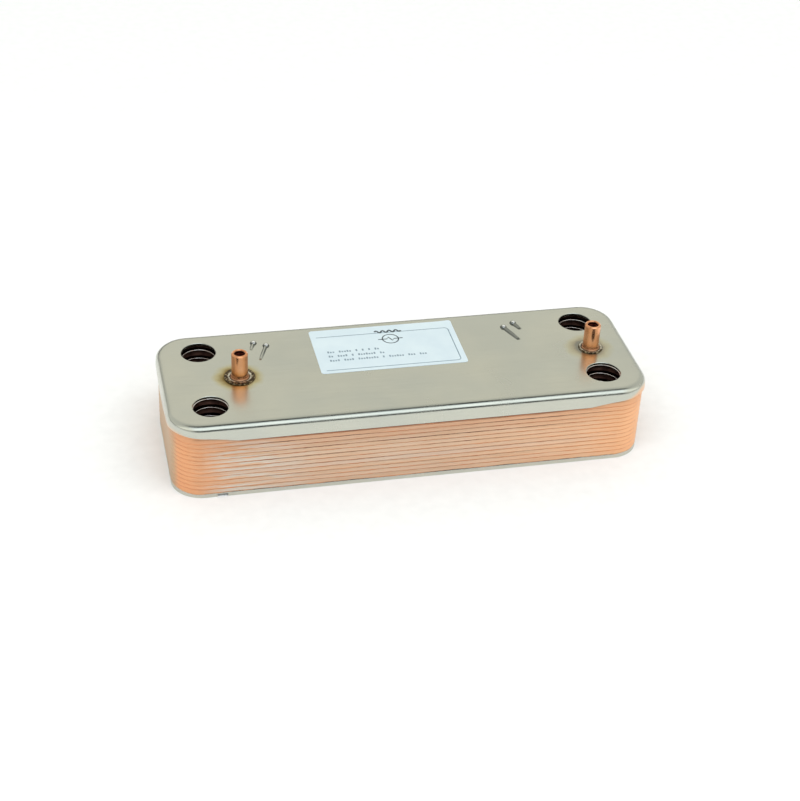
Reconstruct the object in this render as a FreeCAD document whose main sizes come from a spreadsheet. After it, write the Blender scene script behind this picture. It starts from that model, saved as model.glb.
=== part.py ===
"""Brazed plate heat exchanger of a domestic boiler, as a parametric document.

Fifteen thin pressed trays nest in one another, skirts down, between a front cover with the four
water ports and two welded threaded sleeves and a blind back cover. Copper brazing joins them.
Frame: millimetres, +Z towards the ports, +X along the length, origin at the middle of the rim
that the exchanger stands on.
"""

import FreeCAD, Part

import math
import os

import Sketcher

Vector = FreeCAD.Vector
Constraint = Sketcher.Constraint
UP = Vector(0, 0, 1)

DRIVING_SIZES = (
    # ports: centre to centre along and across, bore, and the broken edge of the cover holes
    ("port_pitch_long", 172.0),
    ("port_pitch_wide", 42.0),
    ("port_bore", 15.0),
    ("port_edge_break", 0.2),
    # plate pack, measured over the lower edges of the skirts
    ("pack_length", 207.6),
    ("pack_width", 70.6),
    ("pack_corner", 13.5),
    # one pressed tray
    ("plate_sheet", 0.3),
    ("plate_press", 2.06),
    ("foil", 0.06),
    ("skirt_depth", 3.19),
    ("skirt_draft", 9.78),
    ("plate_bend", 2.3),
    # herringbone pressing of a tray
    ("groove_angle", 60.0),
    ("groove_spacing", 7.6),
    ("groove_width", 4.4),
    ("wall_run", 1.5),
    ("field_long", 142.0),
    ("field_wide", 61.2),
    ("spine_land", 1.6),
    ("seat_radius", 10.8),
    ("dimple_radius", 2.3),
    ("punch_overshoot", 0.2),
    # covers
    ("cover_sheet", 0.7),
    ("cover_skirt", 7.7),
    ("cover_draft", 3.0),
    ("cover_bend", 3.4),
    ("cover_gap", 0.23),
    ("corner_rise", 2.6),
    ("corner_reach", 20.0),
    ("sealing_sheet", 0.5),
    ("sealing_inset", 2.6),
    ("back_recess", 2.78),
    # locating notch in the rim of the back cover, on the near side
    ("notch_length", 4.5),
    ("notch_height", 1.2),
    ("notch_along", -83.3),
    # threaded sleeves, stud welded to the cover
    ("sleeve_outer", 7.1),
    ("sleeve_height", 12.2),
    ("sleeve_thread_bore", 4.2),
    ("sleeve_bore_depth", 9.5),
    ("sleeve_chamfer", 0.5),
    ("sleeve_flange", 8.4),
    ("sleeve_flange_sheet", 1.0),
    ("sleeve_row", -0.8),
    ("left_sleeve_along", -70.9),
    ("right_sleeve_along", 86.4),
    ("left_collar_outer", 13.4),
    ("left_collar_width", 2.4),
    ("right_collar_outer", 10.9),
    ("right_collar_width", 1.15),
    ("collar_height", 0.55),
    ("collar_rounding", 0.44),
    # embossed pips on the cover: domes and the ridges that run from them, sunk into the sheet
    ("pip_radius", 1.5),
    ("pip_sink", 0.3),
    ("ridge_radius", 0.85),
    ("ridge_tip_radius", 0.6),
    ("ridge_sink", 0.1),
    ("left_pip_along", -61.3),
    ("left_pip_across", 24.8),
    ("right_pip_along", 57.4),
    ("right_pip_across", 24.2),
    ("pip_step_along", 5.2),
    ("pip_step_across", 2.8),
    ("short_ridge_along", 1.7),
    ("short_ridge_across", 4.9),
    ("long_ridge_along", 4.0),
    ("long_ridge_across", 10.5),
    # label
    ("label_length", 65.3),
    ("label_width", 34.8),
    ("label_corner", 1.5),
    ("label_film", 0.1),
    ("label_along", -3.15),
    ("label_across", 13.2),
)
CHANNEL_PLATES = 14
TRAYS = CHANNEL_PLATES + 1
# the sides that the four corners lie on: near left, near right, far left, far right
CORNERS = ((-1, -1), (1, -1), (-1, 1), (1, 1))
# dimples between the ports, at unequal places at the two ends so that those of a turned tray miss
DIMPLES = (("-80", "0"), ("-92", "4"), ("-92", "-5"), ("86", "0"), ("96", "0"))
ROTATED = FreeCAD.Rotation(UP, 180)
UPRIGHT = FreeCAD.Rotation()
LEVEL_SLACK = 1e-4
# half length, half width and corner that a rounded outline is drawn with before its sizes are bound
OUTLINE_START = (50, 30, 5)


# ---------------------------------------------------------------- document and sheet

doc = FreeCAD.newDocument("PlateHeatExchanger")
sheet = doc.addObject("Spreadsheet::Sheet", "Sizes")
for row, (alias, value) in enumerate(DRIVING_SIZES, start=1):
    sheet.set(f"A{row}", alias)
    sheet.set(f"B{row}", str(value))
    sheet.setAlias(f"B{row}", alias)
doc.recompute()


def size(alias):
    """The number that a cell of the sheet holds."""
    return float(sheet.get(alias))


def in_sheet(expression):
    """The expression with each alias written as a reference to the sheet."""
    words = sorted((alias for alias, _ in DRIVING_SIZES), key=len, reverse=True)
    for number, word in enumerate(words):
        expression = expression.replace(word, f"<{number}>")
    for number, word in enumerate(words):
        expression = expression.replace(f"<{number}>", f"Sizes.{word}")
    return expression


def bind(thing, **sizes):
    """Bind properties of an object to the sheet."""
    for name, expression in sizes.items():
        thing.setExpression(name, in_sheet(expression))


def place(thing, x="0", y="0", z="0", rotation=UPRIGHT):
    """Give an object a Placement whose position follows the sheet."""
    thing.Placement = FreeCAD.Placement(Vector(), rotation)
    for axis, expression in zip("xyz", (x, y, z)):
        thing.setExpression(f"Placement.Base.{axis}", in_sheet(expression))


# Levels above the rim, as expressions. The back cover's flat is recessed into the rim, the trays
# follow one pitch apart, and the sealing plate and the front cover close the stack.
PITCH = "(plate_press + foil)"
BACK_COVER_TOP = "(back_recess + cover_sheet)"
LAST_TRAY_TOP = f"({BACK_COVER_TOP} + foil + plate_press)"
FIRST_TRAY_TOP = f"({LAST_TRAY_TOP} + {TRAYS - 1} * {PITCH})"
SEALING_PLATE_BASE = f"({FIRST_TRAY_TOP} + foil)"
COVER_TOP = f"({SEALING_PLATE_BASE} + sealing_sheet + foil + cover_sheet)"


def tray_top(number):
    """The level of the flat of tray 1 (front) to TRAYS (back)."""
    return f"({LAST_TRAY_TOP} + {TRAYS - number} * {PITCH})"


# ---------------------------------------------------------------- sketches


def new_sketch(body, name, lift="0"):
    """A sketch on the body's own XY plane, lifted along Z."""
    sketch = body.newObject("Sketcher::SketchObject", name)
    plane = next(item for item in body.Origin.OriginFeatures if item.Role == "XY_Plane")
    sketch.AttachmentSupport = [(plane, "")]
    sketch.MapMode = "FlatFace"
    sketch.setExpression("AttachmentOffset.Base.z", in_sheet(lift))
    return sketch


def drive(sketch, name, constraint, expression):
    """Add a dimension to a sketch and bind it to the sheet."""
    index = sketch.addConstraint(constraint)
    sketch.renameConstraint(index, name)
    sketch.setExpression(f"Constraints.{name}", in_sheet(expression))


def rounded_outline(body, name, length, width, corner):
    """A rectangle with round corners about the origin."""
    sketch = new_sketch(body, name)
    a, b, c = OUTLINE_START
    turns = [(a - c, b - c, 0), (c - a, b - c, 1), (c - a, c - b, 2), (a - c, c - b, 3)]
    sides = [((a, c - b), (a, b - c)), ((a - c, b), (c - a, b)),
             ((-a, b - c), (-a, c - b)), ((c - a, -b), (a - c, -b))]
    for (start, end), (x, y, quarter) in zip(sides, turns):
        sketch.addGeometry(Part.LineSegment(Vector(*start, 0), Vector(*end, 0)), False)
        circle = Part.Circle(Vector(x, y, 0), UP, c)
        begin = quarter * math.pi / 2
        sketch.addGeometry(Part.ArcOfCircle(circle, begin, begin + math.pi / 2), False)
    for index in range(8):
        sketch.addConstraint(Constraint("Tangent", index, 2, (index + 1) % 8, 1))
    for index, direction in ((0, "Vertical"), (2, "Horizontal"), (4, "Vertical"), (6, "Horizontal")):
        sketch.addConstraint(Constraint(direction, index))
    for index in (1, 3, 5):
        sketch.addConstraint(Constraint("Equal", index, index + 2))
    sketch.addConstraint(Constraint("Symmetric", 0, 1, 4, 1, -1, 1))
    drive(sketch, "length", Constraint("DistanceX", 4, 1, 0, 2, 2 * a), length)
    drive(sketch, "width", Constraint("DistanceY", 6, 1, 2, 2, 2 * b), width)
    drive(sketch, "corner", Constraint("Radius", 1, c), corner)
    return sketch


def circles(body, name, diameter, centres=(("0", "0"),), lift="0"):
    """Equal circles at centres given as expressions."""
    sketch = new_sketch(body, name, lift)
    for index, (x, y) in enumerate(centres):
        sketch.addGeometry(Part.Circle(Vector(index, index, 0), UP, 1), False)
        if (x, y) == ("0", "0"):
            sketch.addConstraint(Constraint("Coincident", index, 3, -1, 1))
        else:
            drive(sketch, f"x{index}", Constraint("DistanceX", -1, 1, index, 3, 1), x)
            drive(sketch, f"y{index}", Constraint("DistanceY", -1, 1, index, 3, 1), y)
        drive(sketch, f"diameter{index}", Constraint("Diameter", index, 2), diameter)
    return sketch


def port_centres():
    """The four port centres, as expressions: near left, near right, far left, far right."""
    return [(f"{x} * port_pitch_long / 2", f"{y} * port_pitch_wide / 2") for x, y in CORNERS]


# ---------------------------------------------------------------- features of a body


def new_body(name):
    return doc.addObject("PartDesign::Body", name)


def pad(body, name, sketch, length):
    feature = body.newObject("PartDesign::Pad", name)
    feature.Profile = sketch
    bind(feature, Length=length)
    doc.recompute()
    return feature


def pocket_down(body, name, sketch, depth):
    """A pocket from its sketch downwards, checked to have removed material."""
    before = body.Shape.Volume
    feature = body.newObject("PartDesign::Pocket", name)
    feature.Profile = sketch
    bind(feature, Length=depth)
    doc.recompute()
    if not feature.Shape.Volume < before:
        raise RuntimeError(f"{name} cut nothing")
    return feature


def faces_where(shape, test):
    return [f"Face{n}" for n, face in enumerate(shape.Faces, start=1) if test(face)]


def edges_where(shape, test):
    return [f"Edge{n}" for n, edge in enumerate(shape.Edges, start=1) if test(edge)]


def flat_at(level):
    """Test of an edge or face: it lies wholly at one level."""
    return lambda item: max(abs(item.BoundBox.ZMin - level), abs(item.BoundBox.ZMax - level)) < LEVEL_SLACK


def drawn_tray(body, outline, depth, draft, bend, wall):
    """A deep-drawn tray, mouth down: a block with flared sides and a round bend, hollowed."""
    block = pad(body, outline.Name + "_block", outline, depth)
    height = block.Shape.BoundBox.ZMax
    flare = body.newObject("PartDesign::Draft", outline.Name + "_flare")
    upright = faces_where(block.Shape, lambda face: face.BoundBox.ZLength > height / 2)
    flare.Base = (block, upright)
    flare.NeutralPlane = (block, faces_where(block.Shape, flat_at(0)))
    bind(flare, Angle=draft)
    doc.recompute()
    bend_round = body.newObject("PartDesign::Fillet", outline.Name + "_bend")
    bend_round.Base = (flare, edges_where(flare.Shape, flat_at(height)))
    bind(bend_round, Radius=bend)
    doc.recompute()
    hollow = body.newObject("PartDesign::Thickness", outline.Name + "_hollow")
    hollow.Base = (bend_round, faces_where(bend_round.Shape, flat_at(0)))
    hollow.Reversed = True
    hollow.Join = "Arc"
    bind(hollow, Value=wall)
    doc.recompute()
    body.Tip = hollow
    return hollow


def chamfer_edges(body, name, base, edges, amount):
    feature = body.newObject("PartDesign::Chamfer", name)
    feature.Base = (base, edges)
    bind(feature, Size=amount)
    doc.recompute()
    return feature


# ---------------------------------------------------------------- front cover plate


def pip_with_ridge(name, head, run):
    """An embossed pip: a dome and a half-round ridge that runs down from it to a thinner tip."""
    dome = doc.addObject("Part::Sphere", f"{name}_dome")
    dome.Angle1 = 0
    bind(dome, Radius="pip_radius")
    place(dome, str(head.x), str(head.y), "cover_skirt - pip_sink")
    ridge = doc.addObject("Part::Cone", f"{name}_ridge")
    ridge.Height = run.Length
    ridge.Angle = 180
    bind(ridge, Radius1="ridge_radius", Radius2="ridge_tip_radius")
    half_up = FreeCAD.Rotation(UP.cross(run), UP, run, "ZYX")
    place(ridge, str(head.x), str(head.y), "cover_skirt - ridge_sink", half_up)
    return [dome, ridge]


def embossed_pips():
    """A short and a long pip in mirrored pairs beside the far ports."""
    pieces = []
    for word, inward in (("left", 1), ("right", -1)):
        outer = Vector(size(f"{word}_pip_along"), size(f"{word}_pip_across"), 0)
        inner = outer + Vector(inward * size("pip_step_along"), -size("pip_step_across"), 0)
        for place_word, head, length in (("outer", outer, "short"), ("inner", inner, "long")):
            run = Vector(-inward * size(f"{length}_ridge_along"), -size(f"{length}_ridge_across"), 0)
            pieces += pip_with_ridge(f"{word}_{place_word}_pip", head, run)
    return pieces


def corner_reliefs():
    """Four lying cylinders that lift the lower edge of the cover's skirt in a low arch round each
    corner, where the drawn blank runs short."""
    reliefs = []
    radius = "(corner_reach ^ 2 + corner_rise ^ 2) / (2 * corner_rise)"
    for number, (along, across) in enumerate(CORNERS, start=1):
        relief = doc.addObject("Part::Cylinder", f"corner_relief_{number}")
        bind(relief, Radius=radius, Height="corner_reach")
        place(relief, f"{along} * (pack_length / 2 - pack_corner)",
              f"{across} * (pack_width / 2 - pack_corner)", f"corner_rise - {radius}",
              FreeCAD.Rotation(UP, Vector(along, across, 0)))
        reliefs.append(relief)
    return reliefs


def front_cover_plate():
    """The lid with the port holes: a drawn steel tray that grips the first plates."""
    body = new_body("cover_tray")
    wider = "2 * (cover_gap + cover_sheet)"
    outline = rounded_outline(body, "cover_outline", f"pack_length + {wider}",
                              f"pack_width + {wider}", "pack_corner + cover_gap + cover_sheet")
    drawn_tray(body, outline, "cover_skirt", "cover_draft", "cover_bend", "cover_sheet")
    holes = circles(body, "cover_holes", "port_bore", port_centres(), "cover_skirt")
    cut = pocket_down(body, "cover_port_holes", holes, "2 * cover_sheet")
    top = size("cover_skirt")
    rims = edges_where(cut.Shape, lambda edge: flat_at(top)(edge) and edge.isClosed())
    body.Tip = chamfer_edges(body, "cover_port_breaks", cut, rims, "port_edge_break")
    embossed = doc.addObject("Part::MultiFuse", "embossed_cover")
    embossed.Shapes = [body, *embossed_pips()]
    tool = doc.addObject("Part::Compound", "corner_reliefs")
    tool.Links = corner_reliefs()
    cover = doc.addObject("Part::Cut", "front_cover_plate")
    cover.Base, cover.Tool = embossed, tool
    place(cover, z=f"{COVER_TOP} - cover_skirt")
    return cover


def front_sealing_plate():
    """The flat plate under the cover that seals the first channel around the ports."""
    body = new_body("front_sealing_plate")
    outline = rounded_outline(body, "sealing_outline", "pack_length - 2 * sealing_inset",
                              "pack_width - 2 * sealing_inset", "pack_corner - sealing_inset")
    pad(body, "sealing_sheet_pad", outline, "sealing_sheet")
    holes = circles(body, "sealing_holes", "port_bore", port_centres(), "sealing_sheet")
    body.Tip = pocket_down(body, "sealing_port_holes", holes, "sealing_sheet")
    place(body, z=SEALING_PLATE_BASE)
    return body


# ---------------------------------------------------------------- pressed trays

# A pressing is a hollow in the upper face with a boss below it, one sheet apart. Depths are
# measured down from the tray's flat, and every pressed wall has the same slope.


def hollow_growth(depth):
    """How far a hollow's wall stands outside its outline at the flat, at a depth below it."""
    return -size("wall_run") * depth / (size("plate_press") - size("plate_sheet"))


def boss_growth(depth):
    """The same for the boss below the hollow: one sheet further out, square to the wall."""
    slope = size("wall_run") / (size("plate_press") - size("plate_sheet"))
    return hollow_growth(depth) + size("plate_sheet") * math.hypot(1, slope)


def hollow_depths():
    return -size("punch_overshoot"), size("plate_press") - size("plate_sheet")


def boss_depths():
    return size("plate_sheet") / 2, size("plate_press")


def groove_arms():
    """Both arms of each chevron: its tip, and where the arm starts and ends beside the spine."""
    slope = math.tan(math.radians(size("groove_angle")))
    half_long, half_wide = size("field_long") / 2, size("field_wide") / 2
    shortest = size("groove_width")
    tip = -half_long + shortest
    while tip < half_long + half_wide / slope:
        start = max(size("spine_land") / 2, (tip - half_long) * slope)
        end = min(half_wide, (tip + half_long) * slope)
        if end - start > shortest:
            yield from ((tip, start, end, 1), (tip, start, end, -1))
        tip += size("groove_spacing")


def arm_outline(arm, growth, depth):
    """The four corners of a groove arm at one depth, anticlockwise from above."""
    tip, start, end, side = arm
    angle = math.radians(size("groove_angle"))
    half = (size("groove_width") / 2 + growth) / math.sin(angle)
    level = size("skirt_depth") - depth
    corners = ((start - growth, -half), (start - growth, half), (end + growth, half), (end + growth, -half))
    points = [Vector(tip - y / math.tan(angle) + across, side * y, level) for y, across in corners]
    return points if side > 0 else points[::-1]


def solid_between(low, high):
    """The solid with flat faces between two outlines that run anticlockwise from above."""
    rings = [low[::-1], high]
    for index, corner in enumerate(low):
        after = (index + 1) % len(low)
        rings.append([corner, low[after], high[after], high[index]])
    return Part.Solid(Part.Shell([Part.Face(Part.makePolygon(ring + ring[:1])) for ring in rings]))


def groove_solids(name, depths, growth):
    """All groove arms as one object, either their hollows or their bosses."""
    shallow, deep = depths
    solids = [
        solid_between(arm_outline(arm, growth(deep), deep), arm_outline(arm, growth(shallow), shallow))
        for arm in groove_arms()
    ]
    group = doc.addObject("Part::Feature", name)
    group.Shape = Part.makeCompound(solids)
    return group


def round_pressing(name, x, y, radius, depths, growth):
    """The cone of a round hollow or boss whose radius at the flat is an alias of the sheet."""
    shallow, deep = depths
    cone = doc.addObject("Part::Cone", name)
    bind(cone, Radius1=f"{radius} + {growth(deep)}", Radius2=f"{radius} + {growth(shallow)}")
    cone.Height = deep - shallow
    place(cone, x, y, f"skirt_depth - {deep}")
    return cone


def round_pressings(word, depths, growth):
    """The two port seats pressed down at the far ports, and the dimples between the ports."""
    seats = port_centres()[2:]
    cones = [round_pressing(f"seat_{word}_{n}", x, y, "seat_radius", depths, growth)
             for n, (x, y) in enumerate(seats, start=1)]
    cones += [round_pressing(f"dimple_{word}_{n}", x, y, "dimple_radius", depths, growth)
              for n, (x, y) in enumerate(DIMPLES, start=1)]
    return cones


def pressed_sheet():
    """The tray with its bosses, before its upper side is hollowed, and the hollowing tools."""
    body = new_body("tray_blank")
    outline = rounded_outline(body, "tray_outline", "pack_length", "pack_width", "pack_corner")
    drawn_tray(body, outline, "skirt_depth", "skirt_draft", "plate_bend", "plate_sheet")
    bosses = [groove_solids("groove_bosses", boss_depths(), boss_growth)]
    bosses += round_pressings("boss", boss_depths(), boss_growth)
    embossed = doc.addObject("Part::MultiFuse", "embossed_tray")
    embossed.Shapes = [body, *bosses]
    hollows = [groove_solids("groove_hollows", hollow_depths(), hollow_growth)]
    hollows += round_pressings("hollow", hollow_depths(), hollow_growth)
    tool = doc.addObject("Part::Compound", "pressing_hollows")
    tool.Links = hollows
    tray = doc.addObject("Part::Cut", "pressed_tray")
    tray.Base, tray.Tool = embossed, tool
    doc.recompute()
    return tray


def port_punches():
    """The four cylinders that open the port holes of a tray."""
    punches = []
    for number, (x, y) in enumerate(port_centres(), start=1):
        punch = doc.addObject("Part::Cylinder", f"port_punch_{number}")
        bind(punch, Radius="port_bore / 2", Height="2 * skirt_depth")
        place(punch, x, y, "-skirt_depth / 2")
        punches.append(punch)
    tool = doc.addObject("Part::Compound", "port_punches")
    tool.Links = punches
    return tool


def channel_plates(tray, punches):
    """The trays that bound the channels: every second one is turned end for end."""
    plates = []
    for number in range(1, CHANNEL_PLATES + 1):
        plate = doc.addObject("Part::Cut", f"channel_plate_{number:02d}")
        plate.Base, plate.Tool = tray, punches
        turn = UPRIGHT if number % 2 else ROTATED
        place(plate, z=f"{tray_top(number)} - skirt_depth", rotation=turn)
        plates.append(plate)
    return plates


def back_sealing_plate(tray):
    """The last tray, with the same pressing but no port holes, so it closes the channels."""
    plate = doc.addObject("Part::Compound", "back_sealing_plate")
    plate.Links = [tray]
    place(plate, z=f"{tray_top(TRAYS)} - skirt_depth")
    return plate


def back_cover_plate():
    """The blind tray behind the pack, whose rim the exchanger stands on, with its small notch."""
    body = new_body("back_tray")
    outline = rounded_outline(body, "back_outline", "pack_length", "pack_width", "pack_corner")
    drawn_tray(body, outline, BACK_COVER_TOP, "skirt_draft", "plate_bend + cover_sheet / 2", "cover_sheet")
    notch = doc.addObject("Part::Box", "rim_notch")
    bind(notch, Length="notch_length", Width="pack_corner", Height="notch_height")
    place(notch, "notch_along - notch_length / 2", "-(pack_width + pack_corner) / 2", "0")
    cover = doc.addObject("Part::Cut", "back_cover_plate")
    cover.Base, cover.Tool = body, notch
    return cover


# ---------------------------------------------------------------- copper rings between port seats


def braze_rings(name, centre, first_level, count):
    """Thin copper rings, two pitches apart, that join the seats around one port gallery."""
    pieces = []
    for number in range(count):
        ring = doc.addObject("Part::Cut", f"{name}_{number + 1}")
        disc = doc.addObject("Part::Cylinder", f"{ring.Name}_disc")
        hole = doc.addObject("Part::Cylinder", f"{ring.Name}_hole")
        bind(disc, Radius="seat_radius - wall_run", Height="foil")
        bind(hole, Radius="port_bore / 2", Height="foil")
        ring.Base, ring.Tool = disc, hole
        place(ring, *centre, f"{first_level} - {2 * number} * {PITCH}")
        pieces.append(ring)
    group = doc.addObject("Part::Compound", name)
    group.Links = pieces
    return group


def all_braze_rings():
    """Near galleries join tray 2 to 3, 4 to 5 and so on; far ones 1 to 2, 3 to 4 and so on."""
    near_left, near_right, far_left, far_right = port_centres()
    first_near = SEALING_PLATE_BASE + " - foil"
    first_far = f"{tray_top(2)}"
    near_count, far_count = (TRAYS + 1) // 2, TRAYS // 2
    return [
        braze_rings("near_left_braze_rings", near_left, first_near, near_count),
        braze_rings("near_right_braze_rings", near_right, first_near, near_count),
        braze_rings("far_left_braze_rings", far_left, first_far, far_count),
        braze_rings("far_right_braze_rings", far_right, first_far, far_count),
    ]


# ---------------------------------------------------------------- threaded sleeves and weld collars


def threaded_sleeve(name, along):
    """A stud-welded sleeve: flanged foot, round shank and a blind tapped bore from the top."""
    body = new_body(name)
    flange = circles(body, f"{name}_flange", "sleeve_flange")
    pad(body, f"{name}_foot", flange, "sleeve_flange_sheet")
    shank = circles(body, f"{name}_shank", "sleeve_outer")
    pad(body, f"{name}_stem", shank, "sleeve_height")
    bore = circles(body, f"{name}_bore", "sleeve_thread_bore", lift="sleeve_height")
    drilled = pocket_down(body, f"{name}_drilling", bore, "sleeve_bore_depth")
    top = size("sleeve_height")
    rims = edges_where(drilled.Shape, flat_at(top))
    rims += edges_where(drilled.Shape, lambda edge: flat_at(size("sleeve_flange_sheet"))(edge)
                        and edge.BoundBox.XLength > size("sleeve_outer") + 1)
    body.Tip = chamfer_edges(body, f"{name}_chamfers", drilled, rims, "sleeve_chamfer")
    place(body, along, "sleeve_row", COVER_TOP)
    return body


def weld_collar(name, along, outer, width):
    """The round bead that the stud weld leaves around the sleeve's foot."""
    body = new_body(name)
    ring = circles(body, f"{name}_outer", outer)
    pad(body, f"{name}_disc", ring, "collar_height")
    eye = circles(body, f"{name}_inner", f"{outer} - 2 * {width}", lift="collar_height")
    cut = pocket_down(body, f"{name}_eye", eye, "2 * collar_height")
    soft = body.newObject("PartDesign::Fillet", f"{name}_rounding")
    soft.Base = (cut, edges_where(cut.Shape, flat_at(size("collar_height"))))
    bind(soft, Radius="collar_rounding")
    doc.recompute()
    body.Tip = soft
    place(body, along, "sleeve_row", COVER_TOP)
    return body


# ---------------------------------------------------------------- label


def label():
    """The film label on the cover, towards the far edge."""
    body = new_body("label")
    outline = rounded_outline(body, "label_outline", "label_length", "label_width", "label_corner")
    pad(body, "label_film_pad", outline, "label_film")
    place(body, "label_along", "label_across", COVER_TOP)
    return body


# ---------------------------------------------------------------- assembly, checks and files


def build():
    tray = pressed_sheet()
    parts = [front_cover_plate(), front_sealing_plate()]
    parts += channel_plates(tray, port_punches())
    parts += [back_sealing_plate(tray), back_cover_plate()]
    parts += all_braze_rings()
    parts += [
        threaded_sleeve("left_threaded_sleeve", "left_sleeve_along"),
        threaded_sleeve("right_threaded_sleeve", "right_sleeve_along"),
        weld_collar("left_weld_collar", "left_sleeve_along", "left_collar_outer", "left_collar_width"),
        weld_collar("right_weld_collar", "right_sleeve_along", "right_collar_outer", "right_collar_width"),
        label(),
    ]
    doc.recompute()
    return parts


def check(parts):
    for item in doc.Objects:
        if "Invalid" in item.State or "Error" in item.State:
            raise RuntimeError(f"{item.Label} failed to recompute: {item.State}")
    for part in parts:
        if part.Shape.isNull() or not part.Shape.isValid():
            raise RuntimeError(f"{part.Label} has no valid shape")


def write(parts):
    os.makedirs("parts", exist_ok=True)
    for part in parts:
        part.Shape.exportStep(f"parts/{part.Label}.step")


sub_parts = build()
check(sub_parts)
write(sub_parts)
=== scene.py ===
import math

import bmesh
import bpy
from mathutils import Matrix, Vector, noise


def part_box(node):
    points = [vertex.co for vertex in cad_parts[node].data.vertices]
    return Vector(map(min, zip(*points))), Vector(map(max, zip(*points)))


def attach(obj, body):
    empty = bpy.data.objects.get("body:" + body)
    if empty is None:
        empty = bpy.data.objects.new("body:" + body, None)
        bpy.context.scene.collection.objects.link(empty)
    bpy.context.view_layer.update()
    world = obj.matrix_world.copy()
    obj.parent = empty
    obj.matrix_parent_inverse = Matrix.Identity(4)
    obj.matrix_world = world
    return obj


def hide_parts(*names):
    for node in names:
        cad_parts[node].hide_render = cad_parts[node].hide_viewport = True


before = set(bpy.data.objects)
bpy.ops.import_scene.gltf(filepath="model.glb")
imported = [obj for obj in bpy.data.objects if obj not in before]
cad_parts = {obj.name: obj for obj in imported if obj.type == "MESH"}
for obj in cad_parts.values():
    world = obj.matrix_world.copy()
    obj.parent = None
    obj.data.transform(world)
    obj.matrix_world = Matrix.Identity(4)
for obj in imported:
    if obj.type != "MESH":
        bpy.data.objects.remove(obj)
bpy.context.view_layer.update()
MM = 0.001


# ---- Camera -------------------------------------------------------------------------------
# A long lens from the near left, about a third of the way up, with a slight tilt of the hand.

azimuth, elevation, tilt = math.radians(-14.16), math.radians(34.19), math.radians(2.97)
camera_place = Vector((-153.4, -609.7, 443.5)) * MM
camera = bpy.data.objects.new("camera", bpy.data.cameras.new("camera"))
camera.data.lens = 77.1
camera.data.sensor_width = 36.0
camera.data.clip_start = 0.01
turn = (Matrix.Rotation(azimuth, 4, "Z") @ Matrix.Rotation(math.pi / 2 - elevation, 4, "X")
        @ Matrix.Rotation(tilt, 4, "Z"))
camera.matrix_world = Matrix.Translation(camera_place) @ turn
bpy.context.scene.collection.objects.link(camera)
bpy.context.scene.camera = camera


# ---- Studio -------------------------------------------------------------------------------
# A pale sweep of matt board lit from overhead, between pale walls. The ceiling is dim, a soft
# light stands above the camera and it is dim below that, which draws one pale line between two
# dark ones along a rolled steel edge.

def linear(code):
    """A colour socket's value from an sRGB hex code."""
    channels = [int(code[start:start + 2], 16) / 255 for start in (1, 3, 5)]
    return [c / 12.92 if c <= 0.04045 else ((c + 0.055) / 1.055) ** 2.4 for c in channels] + [1.0]


def add_node(tree, kind, inputs=(), stops=(), **settings):
    """A node with its settings and links. An input is a value, a socket, or a node whose first
    live output is meant. A colour ramp has stops: pairs of a place and a hex colour."""
    made = tree.nodes.new("ShaderNode" + kind)
    for name, value in settings.items():
        setattr(made, name, value)
    for key, value in dict(inputs).items():
        if isinstance(value, bpy.types.Node):
            value = next(socket for socket in value.outputs if socket.enabled)
        if isinstance(value, bpy.types.NodeSocket):
            tree.links.new(value, made.inputs[key])
        else:
            made.inputs[key].default_value = value
    if stops:
        elements = made.color_ramp.elements
        while len(elements) < len(stops):
            elements.new(1.0)
        for element, (place, code) in zip(elements, stops):
            element.position = place
            element.color = linear(code)
    return made


def coated(tree, colour, *coats):
    """A colour with coats laid over it in turn, each as how much there is and its colour. Inputs
    6 and 7 of a mix are its two colours."""
    for amount, coat in coats:
        coat = linear(coat) if isinstance(coat, str) else coat
        colour = add_node(tree, "Mix", {0: amount, 6: colour, 7: coat}, data_type="RGBA")
    return colour


world = bpy.data.worlds.new("studio")
world.use_nodes = True
bpy.context.scene.world = world
bpy.context.scene.view_settings.view_transform = "Standard"
sky = world.node_tree
sky.nodes.clear()
direction = add_node(sky, "SeparateXYZ", {0: add_node(sky, "TexCoord").outputs["Generated"]}).outputs
height_angle = add_node(sky, "Math", {0: direction["Z"], 1: direction["Y"]}, operation="ARCTAN2")
half_turns = add_node(sky, "Math", {0: height_angle, 1: math.pi}, operation="DIVIDE")
towards_camera = add_node(sky, "Math", {0: direction["Y"], 1: -1.0}, operation="MULTIPLY")
bearing = add_node(sky, "Math", {0: direction["X"], 1: towards_camera}, operation="ARCTAN2")
bearing = add_node(sky, "Math", {0: bearing}, operation="ABSOLUTE")
aside = add_node(sky, "MapRange", {
    "Value": bearing, "From Min": math.radians(27), "From Max": math.radians(42)})
# from the horizon behind the object (0) over the top (0.5) to the horizon on the camera's side (1);
# the person at the camera makes the lower dark patch, in the middle only
BACK_HALF = ((0.0, "#55585A"), (0.06, "#5C6062"), (0.11, "#F0EFE5"), (0.30, "#F0EFE5"),
             (0.485, "#D3D5CF"), (0.53, "#1E2529"), (0.615, "#1E2529"), (0.65, "#EEF7FC"))
middle = add_node(sky, "ValToRGB", {"Fac": half_turns}, (
    *BACK_HALF, (0.86, "#EEF7FC"), (0.895, "#12171A"), (0.99, "#12171A"), (1.0, "#6A6E70")))
sides = add_node(sky, "ValToRGB", {"Fac": half_turns}, (
    *BACK_HALF, (0.86, "#DDE4E6"), (0.93, "#BDBFBD"), (1.0, "#B8B8B6")))
# the pale walls stand to the far left and right
sideways = add_node(sky, "Math", {0: direction["X"]}, operation="ABSOLUTE")
walls = add_node(sky, "MapRange", {"Value": sideways, "From Min": 0.38, "From Max": 0.6})
wall_tone = add_node(sky, "ValToRGB", {"Fac": direction["Z"]}, (
    (0.0, "#9EA0A0"), (0.2, "#E2E3DC"), (1.0, "#D3D5CF")))
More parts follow.
